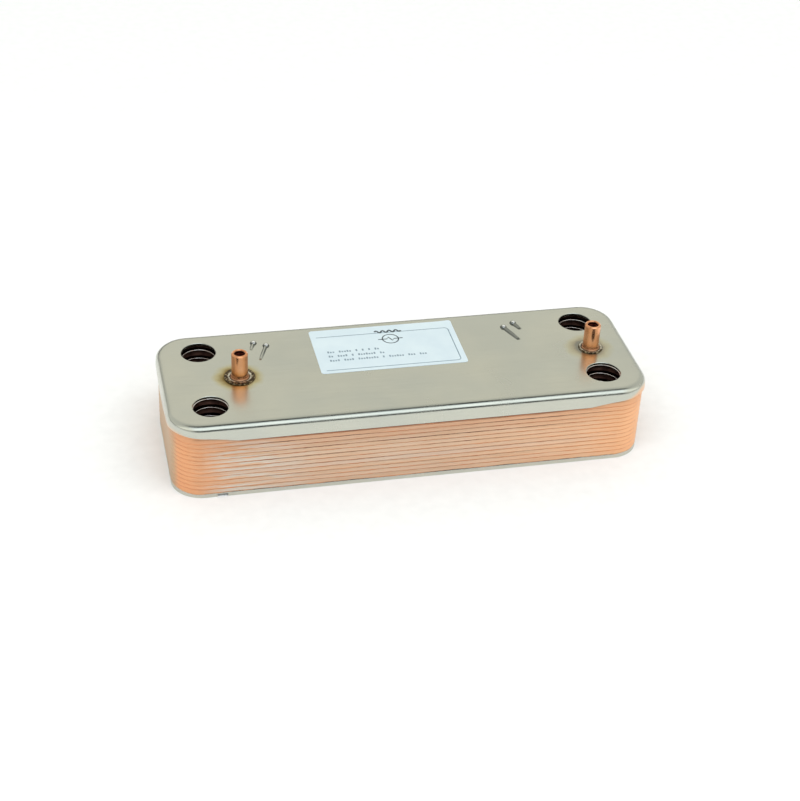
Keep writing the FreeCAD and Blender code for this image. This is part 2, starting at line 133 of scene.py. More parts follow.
# the soft light above the camera
from_light = add_node(sky, "Math", {0: half_turns, 1: 0.76}, operation="SUBTRACT")
from_light = add_node(sky, "Math", {0: from_light}, operation="ABSOLUTE")
soft_light = add_node(sky, "MapRange", {
    "Value": from_light, "From Min": 0.09, "From Max": 0.125, "To Min": 1.7, "To Max": 1.0})
background = add_node(sky, "Background", {
    "Color": coated(sky, middle, (aside, sides), (walls, wall_tone)), "Strength": soft_light})
add_node(sky, "OutputWorld", {"Surface": background})


def new_material(name):
    """A material with an empty node tree, and that tree."""
    material = bpy.data.materials.new(name)
    material.use_nodes = True
    material.node_tree.nodes.clear()
    return material, material.node_tree


def finish_material(tree, inputs):
    """Give a material its one surface shader."""
    shader = add_node(tree, "BsdfPrincipled", inputs)
    add_node(tree, "OutputMaterial", {"Surface": shader})


# the board's fibre is drawn with cells of some 5 mm, since a real one would be too fine to show
FLOOR_REACH = 2.5
board, tree = new_material("matt_white_board")
fibre = add_node(tree, "TexNoise", {"Scale": 900.0, "Detail": 3.0})
finish_material(tree, {
    "Base Color": add_node(tree, "ValToRGB", {"Fac": fibre}, ((0.3, "#F3F3F3"), (0.7, "#F7F7F7"))),
    "Roughness": 0.85,
    "Specular IOR Level": 0.2})
floor_mesh = bpy.data.meshes.new("floor")
sheet = bmesh.new()
bmesh.ops.create_grid(sheet, x_segments=4, y_segments=4, size=FLOOR_REACH)
sheet.to_mesh(floor_mesh)
sheet.free()
floor = bpy.data.objects.new("floor", floor_mesh)
floor_mesh.materials.append(board)
bpy.context.scene.collection.objects.link(floor)

# only the soft light above is to show in the metal, so the bank of lamps is kept out of it
bank = bpy.data.lights.new("overhead_bank", "AREA")
bank.shape = "RECTANGLE"
bank.size, bank.size_y = 3.8, 0.9
bank.energy = 35.0
bank_object = bpy.data.objects.new("overhead_bank", bank)
bank_object.location = (0.0, -0.75, 2.4)
bank_object.rotation_euler = (math.radians(17), 0, 0)
bank_object.visible_glossy = False
bpy.context.scene.collection.objects.link(bank_object)


# ---- Covers -------------------------------------------------------------------------------
# The front and back covers are deep-drawn from 304 stainless strip with a 2B finish: satin, with
# a fine rolling grain along the length. The brazing furnace leaves a faint straw cast, and the
# stud welding a brown and yellow heat tint round each sleeve.

cover_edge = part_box("front_cover_plate")[0].z
cover_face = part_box("left_threaded_sleeve")[0].z
sleeve_centres = [(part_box(name)[0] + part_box(name)[1]) / 2
                  for name in ("left_threaded_sleeve", "right_threaded_sleeve")]


def grain(tree, place, along, across, detail=4.0):
    """Noise drawn out along X: one cell is about that long and wide, in millimetres."""
    stretched = add_node(tree, "Mapping", {"Vector": place, "Scale": (
        1 / (along * MM), 1 / (across * MM), 1 / (across * MM))})
    return add_node(tree, "TexNoise", {"Vector": stretched, "Scale": 1.0, "Detail": detail})


def cloud(tree, place, cell, detail=3.0):
    """Even noise with cells of about that size in millimetres."""
    return add_node(tree, "TexNoise", {"Vector": place, "Scale": 1 / (cell * MM), "Detail": detail})


# the embossed pips: head, run of the ridge, half the width of the ridge's painted shade and how strong
# that shade is on the ridge itself
PIPS = (((-61.3, 24.8), (-1.7, -4.9), 0.55, 0.1), ((-56.1, 22.0), (-4.0, -10.5), 0.55, 0.1),
        ((57.4, 24.2), (1.7, -4.9), 0.95, 0.55), ((52.2, 21.4), (4.0, -10.5), 0.95, 0.55))
DOME_FOOT = 1.25 * MM
# the painted highlight on the top of a dome stands a little towards the near side
HIGHLIGHT_PLACE = (0.05 * MM, -0.5 * MM, 0.0)


def shade_and_highlight_round_pip(tree, place, head, run, ridge, fill):
    """How much painted shade the steel has at one pip: a ring round the dome, a line along each side of
    the ridge that fades towards its end, and some over the ridge itself. Then how strong the painted
    highlight is on the dome's top."""
    start = Vector((*head, 0)) * MM
    reach = Vector((*run, 0)) * MM
    offset = add_node(tree, "VectorMath", {0: place, 1: start}, operation="SUBTRACT")
    offset = add_node(tree, "VectorMath", {0: offset, 1: (1, 1, 0)}, operation="MULTIPLY")
    from_head = add_node(tree, "VectorMath", {0: offset}, operation="LENGTH")
    off_ring = add_node(tree, "Math", {0: from_head, 1: DOME_FOOT}, operation="SUBTRACT")
    off_ring = add_node(tree, "Math", {0: off_ring}, operation="ABSOLUTE")
    # painted shade: a dark ring round the foot of the dome
    ring = add_node(tree, "MapRange", {
        "Value": off_ring, "From Min": 0.1 * MM, "From Max": 0.42 * MM, "To Min": 0.85, "To Max": 0.0})

    share = add_node(tree, "VectorMath", {0: offset, 1: reach / reach.length_squared},
                     operation="DOT_PRODUCT")
    share = add_node(tree, "Math", {0: share, 1: 0.0}, operation="ADD", use_clamp=True)
    nearest = add_node(tree, "VectorMath", {0: reach, "Scale": share}, operation="SCALE")
    away = add_node(tree, "VectorMath", {0: offset, 1: nearest}, operation="DISTANCE")
    outside = add_node(tree, "Math", {0: away, 1: ridge * MM}, operation="SUBTRACT")
    off_line = add_node(tree, "Math", {0: outside}, operation="ABSOLUTE")
    line = add_node(tree, "MapRange", {
        "Value": off_line, "From Min": 0.1 * MM, "From Max": 0.45 * MM, "To Min": 0.75, "To Max": 0.0})
    fade = add_node(tree, "MapRange", {
        "Value": share, "From Min": 0.5, "From Max": 0.98, "To Min": 1.0, "To Max": 0.0})
    line = add_node(tree, "Math", {0: line, 1: fade}, operation="MULTIPLY")
    on_ridge = add_node(tree, "MapRange", {
        "Value": outside, "From Min": -0.2 * MM, "From Max": 0.3 * MM, "To Min": fill, "To Max": 0.0})
    pip_shade = add_node(tree, "Math", {0: line, 1: on_ridge}, operation="MAXIMUM")
    clear_of_dome = add_node(tree, "MapRange", {
        "Value": from_head, "From Min": 1.1 * MM, "From Max": 1.5 * MM})
    pip_shade = add_node(tree, "Math", {0: pip_shade, 1: clear_of_dome}, operation="MULTIPLY")
    pip_shade = add_node(tree, "Math", {0: ring, 1: pip_shade}, operation="MAXIMUM")

    # painted highlight on the top of the dome
    from_highlight = add_node(tree, "VectorMath", {0: offset, 1: HIGHLIGHT_PLACE}, operation="DISTANCE")
    pip_highlight = add_node(tree, "MapRange", {
        "Value": from_highlight, "From Min": 0.45 * MM, "From Max": 0.8 * MM, "To Min": 1.0, "To Max": 0.0})
    return pip_shade, pip_highlight


def heat_round_sleeve(tree, place, centre, strength):
    """How strong the welding's heat tint is at one sleeve, and its colour: it comes to a ragged
    end in pale straw, and lies a little to the left of the sleeve."""
    hot_spot = (centre.x - 0.8 * MM, centre.y, cover_face)
    away = add_node(tree, "VectorMath", {0: place, 1: hot_spot}, operation="DISTANCE")
    ragged = add_node(tree, "Math", {0: cloud(tree, place, 5.0), 1: 3.6 * MM}, operation="MULTIPLY")
    reach = add_node(tree, "Math", {0: away, 1: ragged}, operation="ADD")
    heat = add_node(tree, "MapRange", {
        "Value": reach, "From Min": 7.4 * MM, "From Max": 13.4 * MM, "To Min": 1.0, "To Max": 0.0})
    amount = add_node(tree, "Math", {0: heat, 1: strength}, operation="MULTIPLY", use_clamp=True)
    return amount, add_node(tree, "ValToRGB", {"Fac": heat}, (
        (0.0, "#C6C08A"), (0.45, "#B9A448"), (0.8, "#8A6E28"), (1.0, "#41361C")))


def orange_up_skirt(tree, place, near, far, rise, strength):
    """How strong the orange on the skirt is at a near corner: it starts at one place along the skirt
    and has risen by that much at the other, all in millimetres."""
    parts = add_node(tree, "SeparateXYZ", {0: place}).outputs
    ragged = add_node(tree, "Math", {0: cloud(tree, place, 6.0), 1: 1.6 * MM}, operation="MULTIPLY")
    above_edge = add_node(tree, "Math", {0: parts["Z"], 1: cover_edge}, operation="SUBTRACT")
    above_edge = add_node(tree, "Math", {0: above_edge, 1: ragged}, operation="ADD")
    climb = add_node(tree, "MapRange", {
        "Value": parts["X"], "From Min": near * MM, "From Max": far * MM,
        "To Min": -0.6 * MM, "To Max": rise * MM})
    short_of = add_node(tree, "Math", {0: climb, 1: above_edge}, operation="SUBTRACT")
    orange_share = add_node(tree, "MapRange", {
        "Value": short_of, "From Min": -0.6 * MM, "From Max": 1.4 * MM, "To Max": strength})
    near_side = add_node(tree, "MapRange", {
        "Value": parts["Y"], "From Min": -26 * MM, "From Max": -12 * MM, "To Min": 1.0, "To Max": 0.0})
    return add_node(tree, "Math", {0: orange_share, 1: near_side}, operation="MULTIPLY")


def satin_stainless(name, marked):
    """2B stainless steel; the marked one has the sleeves' heat tint, painted shade round the pips with a
    painted highlight on each dome, and orange on the skirt at the near corners."""
    material, tree = new_material(name)
    place = add_node(tree, "TexCoord").outputs["Object"]
    rolling = grain(tree, place, 14.0, 0.35)
    rolled = add_node(tree, "MapRange", {
        "Value": rolling, "From Min": 0.35, "From Max": 0.7, "To Max": 0.12})
    colour = add_node(tree, "ValToRGB", {"Fac": cloud(tree, place, 38.0)}, (
        (0.35, "#C4C6BD"), (0.65, "#CCCCC0")))
    colour = coated(tree, colour, (rolled, "#A8AAA0"))
    if marked:
        for centre, strength in zip(sleeve_centres, (1.1, 0.6)):
            colour = coated(tree, colour, heat_round_sleeve(tree, place, centre, strength))
        for pip in PIPS:
            pip_shade, pip_highlight = shade_and_highlight_round_pip(tree, place, *pip)
            # painted shade round each pip, and a painted white highlight on the top of each dome
            colour = coated(tree, colour, (pip_shade, "#3B4143"), (pip_highlight, "#FFFFFF"))
        # orange on the skirt, rising towards each near corner
        for corner in ((84, 100, 6.2, 0.85), (-87, -101, 4.4, 0.5)):
            colour = coated(tree, colour, (orange_up_skirt(tree, place, *corner), "#F2BC92"))
    # fine scratches from handling, in three directions
    scratches = 0.0
    for angle, length in ((0.35, 16.0), (-0.6, 11.0), (1.3, 8.0)):
        turned = add_node(tree, "Mapping", {"Vector": place, "Rotation": (0, 0, angle)})
        line = grain(tree, turned, length, 0.16, 0.0)
        line = add_node(tree, "MapRange", {"Value": line, "From Min": 0.76, "From Max": 0.82})
        scratches = add_node(tree, "Math", {0: line, 1: scratches}, operation="MAXIMUM")
    scratches = add_node(tree, "Math", {0: scratches, 1: 0.05}, operation="MULTIPLY")
    handled = cloud(tree, place, 22.0, 5.0)
    fine = add_node(tree, "Bump", {"Height": rolling, "Strength": 0.12, "Distance": 0.02 * MM})
    sheet_waves = add_node(tree, "Bump", {
        "Height": cloud(tree, place, 30.0, 1.0), "Strength": 0.25, "Distance": 0.15 * MM,
        "Normal": fine})
    finish_material(tree, {
        "Base Color": coated(tree, colour, (scratches, "#8C8E86")),
        "Metallic": 1.0,
        "Roughness": add_node(tree, "MapRange", {
            "Value": handled, "From Min": 0.3, "From Max": 0.7, "To Min": 0.2, "To Max": 0.29}),
        "Normal": sheet_waves,
        "Anisotropic": 0.3})
    return material


def dress(node_name, material):
    """Give a carried-over node its material."""
    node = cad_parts[node_name]
    node.data.materials.clear()
    node.data.materials.append(material)


dress("front_cover_plate", satin_stainless("satin_stainless_with_heat_tint", True))
plain_stainless = satin_stainless("satin_stainless", False)
for name in ("back_cover_plate", "front_sealing_plate"):
    dress(name, plain_stainless)


# ---- Plate pack ---------------------------------------------------------------------------
# Fifteen trays pressed from 0.3 mm stainless strip. In the furnace the copper between them
# wets the skirts, so the sides have a satin skin of copper, thicker and redder at the corners, with a
# slightly different tone on each plate; inside, away from the copper, dark brown is painted as shade.

pack_low, pack_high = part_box("channel_plate_03")
plate_names = [f"channel_plate_{n:02d}" for n in range(1, 15)] + ["back_sealing_plate"]
plate_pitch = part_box("channel_plate_03")[0].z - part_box("channel_plate_04")[0].z
PACK_CORNER = 13.5 * MM


def oxide_on_joints(tree, place, faint, breaks, top):
    """How brown the joints are: in lengths that noise breaks up between two levels, mostly on
    every second joint, of which the others have a faint share, and most at the top of the pack."""
    height = add_node(tree, "SeparateXYZ", {0: place}).outputs["Z"]
    row = height
    for operation, number in (("SUBTRACT", pack_low.z), ("DIVIDE", plate_pitch), ("ADD", 0.5),
                              ("FLOOR", 0.0), ("PINGPONG", 1.0)):
        row = add_node(tree, "Math", {0: row, 1: number}, operation=operation)
    every_other = add_node(tree, "MapRange", {"Value": row, "To Min": faint})
    broken = add_node(tree, "MapRange", {
        "Value": grain(tree, place, 34.0, 1.8, 2.0), "From Min": breaks[0], "From Max": breaks[1]})
    upper = add_node(tree, "MapRange", {
        "Value": height, "From Min": 6 * MM, "From Max": 25 * MM, "To Min": 0.15, "To Max": top})
    oxide = add_node(tree, "Math", {0: every_other, 1: broken}, operation="MULTIPLY")
    return add_node(tree, "Math", {0: oxide, 1: upper}, operation="MULTIPLY")


copper_wetted, tree = new_material("copper_wetted_stainless")
place = add_node(tree, "TexCoord").outputs["Object"]
parts = add_node(tree, "SeparateXYZ", {0: place}).outputs
end_distance = add_node(tree, "Math", {0: parts["X"]}, operation="ABSOLUTE")
layer = add_node(tree, "Math", {0: parts["Z"], 1: pack_low.z}, operation="SUBTRACT")
layer = add_node(tree, "Math", {0: layer, 1: plate_pitch}, operation="DIVIDE")
layer_number = add_node(tree, "Math", {0: layer}, operation="FLOOR")
tone = add_node(tree, "TexWhiteNoise", {"W": layer_number}, noise_dimensions="1D")
skin = add_node(tree, "ValToRGB", {"Fac": tone}, ((0.0, "#D8B69A"), (0.5, "#E2BEA0"), (1.0, "#DCC2AE")))
streaks = add_node(tree, "MapRange", {
    "Value": grain(tree, place, 24.0, 1.6), "From Min": 0.42, "From Max": 0.68, "To Max": 0.5})
corner_copper = add_node(tree, "MapRange", {
    "Value": end_distance, "From Min": pack_high.x - 28 * MM, "From Max": pack_high.x - 6 * MM,
    "To Max": 0.9})
# the last millimetres at each end of the pack are a paler beige-grey
beige_ends = add_node(tree, "MapRange", {
    "Value": end_distance, "From Min": pack_high.x - 2.6 * MM, "From Max": pack_high.x - 1.0 * MM,
    "To Max": 0.8})
right_end = add_node(tree, "MapRange", {
    "Value": parts["X"], "From Min": 10 * MM, "From Max": 98 * MM, "To Max": 0.65})
# painted reflection: pale bands near the left end on some of the plates, where a bright object is
# reflected
from_left = add_node(tree, "MapRange", {"Value": parts["X"], "From Min": -92 * MM, "From Max": -42 * MM})
reflection_span = add_node(tree, "ValToRGB", {"Fac": from_left}, (
    (0.0, "#000000"), (0.22, "#FFFFFF"), (0.5, "#FFFFFF"), (1.0, "#000000")))
painted_reflection_bands = add_node(tree, "MapRange", {
    "Value": grain(tree, place, 18.0, 1.5, 1.0), "From Min": 0.45, "From Max": 0.56, "To Max": 0.75})
painted_reflection_bands = add_node(tree, "Math", {0: painted_reflection_bands, 1: reflection_span}, operation="MULTIPLY")
# red-brown oxide along the joints, in broken lines that are stronger on the upper plates
in_layer = add_node(tree, "Math", {0: layer}, operation="FRACT")
joint = add_node(tree, "MapRange", {"Value": in_layer, "From Min": 0.72, "From Max": 0.86})
between_ends = add_node(tree, "MapRange", {
    "Value": end_distance, "From Min": 60 * MM, "From Max": 98 * MM, "To Min": 1.0, "To Max": 0.1})
oxide = oxide_on_joints(tree, place, 0.45, (0.40, 0.62), 0.95)
for share in (joint, between_ends):
    oxide = add_node(tree, "Math", {0: oxide, 1: share}, operation="MULTIPLY")
# painted shade under the lip of the cover, whose edge arches up round each corner, and a redder band a
# little further down
CORNER_RISE = 2.6 * MM
CORNER_ARCH_RADIUS = 78.2 * MM
from_corner = add_node(tree, "VectorMath", {0: place}, operation="ABSOLUTE")
from_corner = add_node(tree, "VectorMath", {
    0: from_corner, 1: (pack_high.x - PACK_CORNER, pack_high.y - PACK_CORNER, 0)}, operation="SUBTRACT")
past_corner = add_node(tree, "VectorMath", {
    0: from_corner, 1: (math.sqrt(0.5), -math.sqrt(0.5), 0)}, operation="DOT_PRODUCT")
arch = add_node(tree, "Math", {0: past_corner, 1: past_corner}, operation="MULTIPLY")
arch = add_node(tree, "Math", {0: arch, 1: -0.5 / CORNER_ARCH_RADIUS, 2: CORNER_RISE},
                operation="MULTIPLY_ADD")
arch = add_node(tree, "Math", {0: arch, 1: 0.0}, operation="MAXIMUM")
below_lip = add_node(tree, "Math", {0: parts["Z"], 1: cover_edge}, operation="SUBTRACT")
below_lip = add_node(tree, "Math", {0: below_lip, 1: arch}, operation="SUBTRACT")
reddened = add_node(tree, "MapRange", {
    "Value": below_lip, "From Min": -9 * MM, "From Max": -2 * MM, "To Max": 0.45})
# painted shade in the gap just under the cover's lip
lip_shade = add_node(tree, "MapRange", {
    "Value": below_lip, "From Min": -1.8 * MM, "From Max": -0.7 * MM, "To Max": 0.9})
lip_shade = add_node(tree, "Math", {0: lip_shade, 1: between_ends}, operation="MULTIPLY")
# how deep a place is inside the pack's outline, a rectangle with round corners
outwards = add_node(tree, "VectorMath", {0: from_corner, 1: (0, 0, 0)}, operation="MAXIMUM")
outwards = add_node(tree, "VectorMath", {0: outwards, 1: (1, 1, 0)}, operation="MULTIPLY")
outwards = add_node(tree, "VectorMath", {0: outwards}, operation="LENGTH")
# painted shade: deep inside the outline, in the ports, the steel is coloured dark brown
inside = add_node(tree, "MapRange", {
    "Value": outwards, "From Min": PACK_CORNER - 3.2 * MM, "From Max": PACK_CORNER - 2.2 * MM,
    "To Min": 1.0, "To Max": 0.0})
inner_shade_brown = add_node(tree, "ValToRGB", {"Fac": cloud(tree, place, 3.0)}, (
    (0.35, "#261815"), (0.65, "#3F2B24")))
# the skirts are not quite flat: shallow waves run along them, different on each plate
sway = add_node(tree, "Bump", {
    "Height": grain(tree, place, 45.0, 1.3, 1.0), "Strength": 1.0, "Distance": 0.12 * MM})
grit = cloud(tree, place, 0.5, 4.0)
finish_material(tree, {
    "Base Color": coated(
        tree, skin, (streaks, "#E3CDB8"), (corner_copper, "#ECAB7D"), (beige_ends, "#C3AF93"),
        (right_end, "#FFC99C"), (painted_reflection_bands, "#DCD6CB"), (oxide, "#7A4632"),
        (reddened, "#D9A07C"), (lip_shade, "#54301F"), (inside, inner_shade_brown)),
    "Metallic": 1.0,
    "Roughness": add_node(tree, "MapRange", {"Value": grit, "To Min": 0.34, "To Max": 0.5}),
    "Normal": add_node(tree, "Bump", {
        "Height": grit, "Strength": 0.35, "Distance": 0.03 * MM, "Normal": sway})})
for name in plate_names:
    dress(name, copper_wetted)


# ---- Copper fillets -----------------------------------------------------------------------
# Capillary action leaves a small uneven bead of copper under the lower edge of every skirt, where
# it meets the next tray, and round each joint between two port seats.

braze, tree = new_material("solidified_copper_braze")
place = add_node(tree, "TexCoord").outputs["Object"]
melt = cloud(tree, place, 1.2, 4.0)
bead_tone = add_node(tree, "ValToRGB", {"Fac": cloud(tree, place, 9.0)}, (
    (0.3, "#D08A62"), (0.7, "#E6A680")))
# oxidised red-brown along the sides; clean copper at the two ends, painted brighter there to lift the
# shade in the corner fillets
end_distance = add_node(tree, "SeparateXYZ", {0: place}).outputs["X"]
end_distance = add_node(tree, "Math", {0: end_distance}, operation="ABSOLUTE")
painted_light_at_ends = add_node(tree, "MapRange", {
    "Value": end_distance, "From Min": 60 * MM, "From Max": 94 * MM})
oxide = oxide_on_joints(tree, place, 0.4, (0.38, 0.58), 1.0)
finish_material(tree, {
    "Base Color": coated(tree, bead_tone, (oxide, "#5F2E20"), (painted_light_at_ends, "#E4A579")),
    "Metallic": 1.0,
    "Roughness": add_node(tree, "MapRange", {"Value": melt, "To Min": 0.22, "To Max": 0.42}),
    "Normal": add_node(tree, "Bump", {"Height": melt, "Strength": 0.4, "Distance": 0.05 * MM})})


def round_the_pack(half_long, half_wide, corner, step):
    """Points and outward directions round a rectangle with round corners, evenly spaced."""
    straight_x, straight_y = half_long - corner, half_wide - corner
    arc_steps = round(corner * math.pi / 2 / step)
    path = []
    for quarter in range(4):
        start = quarter * math.pi / 2
        centre = Vector((straight_x * (1, -1, -1, 1)[quarter], straight_y * (1, 1, -1, -1)[quarter], 0))
        for index in range(arc_steps):
            angle = start + index * math.pi / 2 / arc_steps
            out = Vector((math.cos(angle), math.sin(angle), 0))
            path.append((centre + out * corner, out))
        out = Vector((math.cos(start + math.pi / 2), math.sin(start + math.pi / 2), 0))
        along = Vector((-out.y, out.x, 0))
        length = 2 * (straight_x if quarter % 2 == 0 else straight_y)
        straight_steps = round(length / step)
        for index in range(straight_steps):
            path.append((centre + out * corner + along * length * index / straight_steps, out))
    return path


def fillet(mesh, path, level, section, seed, flood=0.0):
    """Sweep a fillet along a closed path, swelling and thinning every 6 mm and every 1.3 mm. The
    section's points are (inwards, down), and flood is how much deeper it runs at the two ends."""
    rings = []
    for point, out in path:
        swell = 1 + 0.5 * noise.noise(point * 160 + Vector((0, 0, seed * 3.7)))
        swell += 0.3 * noise.noise(point * 800 + Vector((0, 0, seed * 1.3)))
        swell *= 1 + flood * max(0.0, abs(point.x) / path[0][0].x - 0.6)
        rings.append([mesh.verts.new(
            point - out * inward * MM + Vector((0, 0, level - down * swell * MM)))
            for inward, down in section])
    for index, ring in enumerate(rings):
        after = rings[(index + 1) % len(rings)]
        for side in range(len(section)):
            other = (side + 1) % len(section)
            mesh.faces.new((ring[side], after[side], after[other], ring[other]))


def finished_piece(mesh, name, material, smooth=True):
    """Turn a bmesh into an object that rides with the exchanger."""
    bmesh.ops.recalc_face_normals(mesh, faces=mesh.faces)
    data = bpy.data.meshes.new(name)
    mesh.to_mesh(data)
    mesh.free()
    for face in data.polygons:
        face.use_smooth = smooth
    data.materials.append(material)
    piece = bpy.data.objects.new(name, data)
    bpy.context.scene.collection.objects.link(piece)
    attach(piece, "root")
    return piece


# from just under the skirt's outer edge down to the next tray's bend, and back inside the joint
SKIRT_FILLET = ((0.04, -0.02), (0.14, 0.14), (0.24, 0.46), (0.40, 0.62), (0.60, 0.30), (0.50, -0.10))
FILLET_STEP = 1.2 * MM
skirt_beads = bmesh.new()
for number, name in enumerate(plate_names[2:], start=3):
    low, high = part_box(name)
    route = round_the_pack(high.x, high.y, PACK_CORNER, FILLET_STEP)
    fillet(skirt_beads, route, low.z, SKIRT_FILLET, number, flood=1.2)
finished_piece(skirt_beads, "skirt_braze_fillets", braze)

pale_copper, tree = new_material("copper_washed_plate_edge")
place = add_node(tree, "TexCoord").outputs["Object"]
finish_material(tree, {
    "Base Color": add_node(tree, "ValToRGB", {"Fac": cloud(tree, place, 2.0)}, (
        (0.3, "#DCC6BC"), (0.6, "#FBF4F0"))),
    "Metallic": 1.0,
    "Roughness": 0.25})
PORT_RADIUS = 7.5 * MM
FOIL = 0.06 * MM
# a bead that bulges into the port and closes a little way behind the plates' edges
RING_FILLET = ((-0.02, -0.22), (0.16, -0.12), (0.24, 0.02), (0.14, 0.14), (-0.02, 0.22), (-0.30, 0.0))
RING_STEPS = 72
gallery_beads = bmesh.new()
for node_name in ("near_left_braze_rings", "near_right_braze_rings",
                  "far_left_braze_rings", "far_right_braze_rings"):
    dress(node_name, pale_copper)
    low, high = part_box(node_name)
    centre = (low + high) / 2
    route = []
    for index in range(RING_STEPS):
        angle = 2 * math.pi * index / RING_STEPS
        out = Vector((math.cos(angle), math.sin(angle), 0))
        route.append((Vector((centre.x, centre.y, 0)) + out * PORT_RADIUS, out))
    for number in range(round((high.z - low.z) / (2 * plate_pitch)) + 1):
        level = low.z + number * 2 * plate_pitch + FOIL / 2
        fillet(gallery_beads, route, level, RING_FILLET, number + centre.x * 50)
finished_piece(gallery_beads, "gallery_braze_fillets", pale_copper)


# ---- Threaded sleeves ---------------------------------------------------------------------
# Stud-welding sleeves turned from mild steel, copper plated, with a flanged foot and an M5 thread.
# The plating is bright, with fine turning marks round the shank and darker where the arc burnt.

plated, tree = new_material("bright_copper_plate")
place = add_node(tree, "TexCoord").outputs["Object"]
height = add_node(tree, "SeparateXYZ", {0: place}).outputs["Z"]
turning = add_node(tree, "TexNoise", {
    "Vector": add_node(tree, "CombineXYZ", {"Z": height}), "Scale": 1 / (0.25 * MM), "Detail": 2.0})
ragged = add_node(tree, "Math", {0: cloud(tree, place, 2.5), 1: 1.6 * MM}, operation="MULTIPLY")
above_weld = add_node(tree, "Math", {0: height, 1: ragged}, operation="SUBTRACT")
burnt = add_node(tree, "MapRange", {
    "Value": above_weld, "From Min": cover_face - 0.4 * MM, "From Max": cover_face + 1.6 * MM,
    "To Min": 0.85, "To Max": 0.0})
copper_tone = add_node(tree, "ValToRGB", {"Fac": cloud(tree, place, 6.0)}, (
    (0.3, "#E09A6C"), (0.7, "#F0AF84")))
flat_place = add_node(tree, "VectorMath", {0: place, 1: (1, 1, 0)}, operation="MULTIPLY")
for axis in sleeve_centres:
    from_axis = add_node(tree, "VectorMath", {0: flat_place, 1: (axis.x, axis.y, 0)},
                         operation="DISTANCE")
    # painted shade: the inside of the bore, and the thread in it, are coloured a dark red-brown
    bore_shade = add_node(tree, "MapRange", {
        "Value": from_axis, "From Min": 2.15 * MM, "From Max": 2.5 * MM, "To Min": 1.0, "To Max": 0.0})
    copper_tone = coated(tree, copper_tone, (bore_shade, "#4A1D16"))
finish_material(tree, {
    "Base Color": coated(tree, copper_tone, (burnt, "#77604C")),
    "Metallic": 1.0,
    "Roughness": add_node(tree, "MapRange", {"Value": turning, "To Min": 0.16, "To Max": 0.3}),
    "Normal": add_node(tree, "Bump", {"Height": turning, "Strength": 0.25, "Distance": 0.02 * MM})})

SLEEVE_BORE = 2.1 * MM
SLEEVE_BORE_DEPTH = 9.5 * MM
THREAD_PITCH = 0.8 * MM
THREAD_STEPS = 40
THREAD_START = 1.4 * MM
THREAD_RUNOUT = 0.8 * MM
THREAD_CREST = SLEEVE_BORE - 0.3 * MM
# the section of the thread: distance from the axis and height
THREAD_SECTION = ((SLEEVE_BORE, 0.32 * MM), (THREAD_CREST, 0.05 * MM),
                  (THREAD_CREST, -0.05 * MM), (SLEEVE_BORE, -0.32 * MM))
threads = bmesh.new()
for name in ("left_threaded_sleeve", "right_threaded_sleeve"):
    dress(name, plated)
    low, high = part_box(name)
    centre = (low + high) / 2
    turns = int((SLEEVE_BORE_DEPTH - THREAD_START - THREAD_RUNOUT) / THREAD_PITCH)
    previous = None
    for index in range(turns * THREAD_STEPS + 1):
        angle = 2 * math.pi * index / THREAD_STEPS
        level = high.z - THREAD_START - index / THREAD_STEPS * THREAD_PITCH
        out = Vector((math.cos(angle), math.sin(angle), 0))
        axis = Vector((centre.x, centre.y, level))
        section = [threads.verts.new(axis + out * radius + Vector((0, 0, lift)))
                   for radius, lift in THREAD_SECTION]
        if previous:
            for side in range(4):
                after = (side + 1) % 4
                threads.faces.new((previous[side], section[side], section[after], previous[after]))
        else:
            threads.faces.new(section)
        previous = section
    threads.faces.new(previous[::-1])
finished_piece(threads, "sleeve_threads", plated, smooth=False)


# ---- Weld collars -------------------------------------------------------------------------
# The bead of molten steel and copper that the stud weld throws up round each foot: lumpy, bright
# metal on its inner side and oxidised nearly black with a few bright spots on its outer side.

burnt_bead, tree = new_material("oxidised_weld_bead")
place = add_node(tree, "TexCoord").outputs["Object"]
scale_marks = cloud(tree, place, 0.9, 5.0)
flat_place = add_node(tree, "VectorMath", {0: place, 1: (1, 1, 0)}, operation="MULTIPLY")
from_left, from_right = (
    add_node(tree, "VectorMath", {0: flat_place, 1: (axis.x, axis.y, 0)}, operation="DISTANCE")
    for axis in sleeve_centres)
from_axis = add_node(tree, "Math", {0: from_left, 1: from_right}, operation="MINIMUM")
uneven = add_node(tree, "Math", {0: cloud(tree, place, 1.4), 1: 1.2 * MM, 2: -0.6 * MM},
                  operation="MULTIPLY_ADD")
edge = add_node(tree, "Math", {0: from_axis, 1: uneven}, operation="ADD")
outer_side = add_node(tree, "MapRange", {"Value": edge, "From Min": 4.85 * MM, "From Max": 5.25 * MM})
bright = add_node(tree, "ValToRGB", {"Fac": scale_marks}, (
    (0.32, "#8E8874"), (0.5, "#D3CEBC"), (0.68, "#F4F0E2")))
oxidised = add_node(tree, "ValToRGB", {"Fac": scale_marks}, (
    (0.38, "#2A2117"), (0.52, "#5C4C36"), (0.66, "#B7A684")))
finish_material(tree, {
    "Base Color": coated(tree, bright, (outer_side, oxidised)),
    "Metallic": 0.9,
    "Roughness": add_node(tree, "MapRange", {"Value": scale_marks, "To Min": 0.6, "To Max": 0.28}),
    "Normal": add_node(tree, "Bump", {"Height": scale_marks, "Strength": 0.6, "Distance": 0.12 * MM})})
for name in ("left_weld_collar", "right_weld_collar"):
    dress(name, burnt_bead)


# ---- Label --------------------------------------------------------------------------------
# A pale blue-white polyester film label with a thermal-transfer print: a thin frame, a plain
# heat-exchanger symbol, and rows of small blocks for the lettering. It is glued down, and its far
# right corner lifts very slightly.

